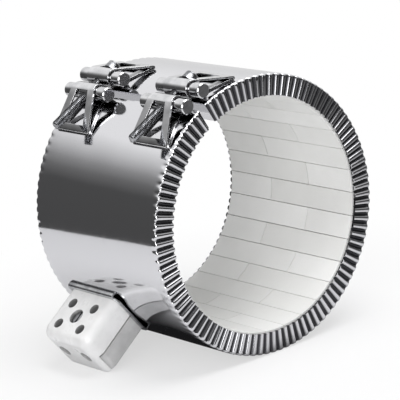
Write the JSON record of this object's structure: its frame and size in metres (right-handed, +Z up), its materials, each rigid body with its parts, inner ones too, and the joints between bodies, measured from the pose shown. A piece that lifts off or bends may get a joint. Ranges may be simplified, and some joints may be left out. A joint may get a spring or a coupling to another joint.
{
  "type": "band heater",
  "caption": "Split ring heater with a tiled ceramic bore and a polished steel shell with pleated ends, drawn tight on a barrel by screw clamps, with a ceramic terminal block.",
  "frame": {"origin": "centre of the bore, half way along it", "axes": "+Y along the bore from the front rim to the back, +Z up with the heater lying on the bottom of its ring and on the corner of its terminal block"},
  "size_m": [0.1658, 0.105, 0.1567],
  "materials": {
    "stainless_sheet": "mirror polished rolled sheet",
    "plated_steel": "bright zinc plated, folded and turned",
    "screw_steel": "bright plated, machined",
    "tile_ceramic": "unglazed white steatite",
    "block_ceramic": "white glaze",
    "fibre": "soft ceramic fibre felt",
    "heating_alloy": "oxidised resistance wire",
    "lead_metal": "plain nickel strip",
    "terminal_brass": "machined"
  },
  "bodies": {
    "heater": {"shell": "stainless_sheet", "insulation_blanket": "fibre", "heating_coil": "heating_alloy", "tile_row_01": "tile_ceramic", "tile_row_02": "tile_ceramic", "tile_row_03": "tile_ceramic", "tile_row_04": "tile_ceramic", "tile_row_05": "tile_ceramic", "tile_row_06": "tile_ceramic", "tile_row_07": "tile_ceramic", "tile_row_08": "tile_ceramic", "tile_row_09": "tile_ceramic", "tile_row_10": "tile_ceramic", "tile_row_11": "tile_ceramic", "tile_row_12": "tile_ceramic", "tile_row_13": "tile_ceramic", "tile_row_14": "tile_ceramic", "tile_row_15": "tile_ceramic", "tile_row_16": "tile_ceramic", "tile_row_17": "tile_ceramic", "tile_row_18": "tile_ceramic", "tile_row_19": "tile_ceramic", "tile_row_20": "tile_ceramic", "tile_row_21": "tile_ceramic", "tile_row_22": "tile_ceramic", "tile_row_23": "tile_ceramic", "tile_row_24": "tile_ceramic", "tile_row_25": "tile_ceramic", "tile_row_26": "tile_ceramic", "tile_row_27": "tile_ceramic", "tile_row_28": "tile_ceramic", "tile_row_29": "tile_ceramic", "tile_row_30": "tile_ceramic", "front_upper_strap": "plated_steel", "front_lower_strap": "plated_steel", "front_head_barrel": "plated_steel", "front_nut_barrel": "plated_steel", "rear_upper_strap": "plated_steel", "rear_lower_strap": "plated_steel", "rear_head_barrel": "plated_steel", "rear_nut_barrel": "plated_steel", "terminal_bracket": "plated_steel", "terminal_cover": "block_ceramic", "terminal_base": "block_ceramic", "cover_screw": "screw_steel", "cover_nut": "screw_steel", "lead_strip_1": "lead_metal", "lead_bush_1": "tile_ceramic", "terminal_bar_1": "terminal_brass", "terminal_screws_1": "screw_steel", "lead_strip_2": "lead_metal", "lead_bush_2": "tile_ceramic", "terminal_bar_2": "terminal_brass", "terminal_screws_2": "screw_steel"},
    "front_clamp_screw": {"front_clamp_screw": "screw_steel"},
    "rear_clamp_screw": {"rear_clamp_screw": "screw_steel"}
  },
  "joints": [
    {"name": "front_clamp_screw_turn", "type": "hinge", "parent": "heater", "child": "front_clamp_screw", "pos_m": [-0.03833, -0.033, 0.07073], "axis": [0.8792, 0, 0.4764], "continuous": true},
    {"name": "rear_clamp_screw_turn", "type": "hinge", "parent": "heater", "child": "rear_clamp_screw", "pos_m": [-0.03833, 0.033, 0.07073], "axis": [0.8792, 0, 0.4764], "continuous": true}
  ]
}
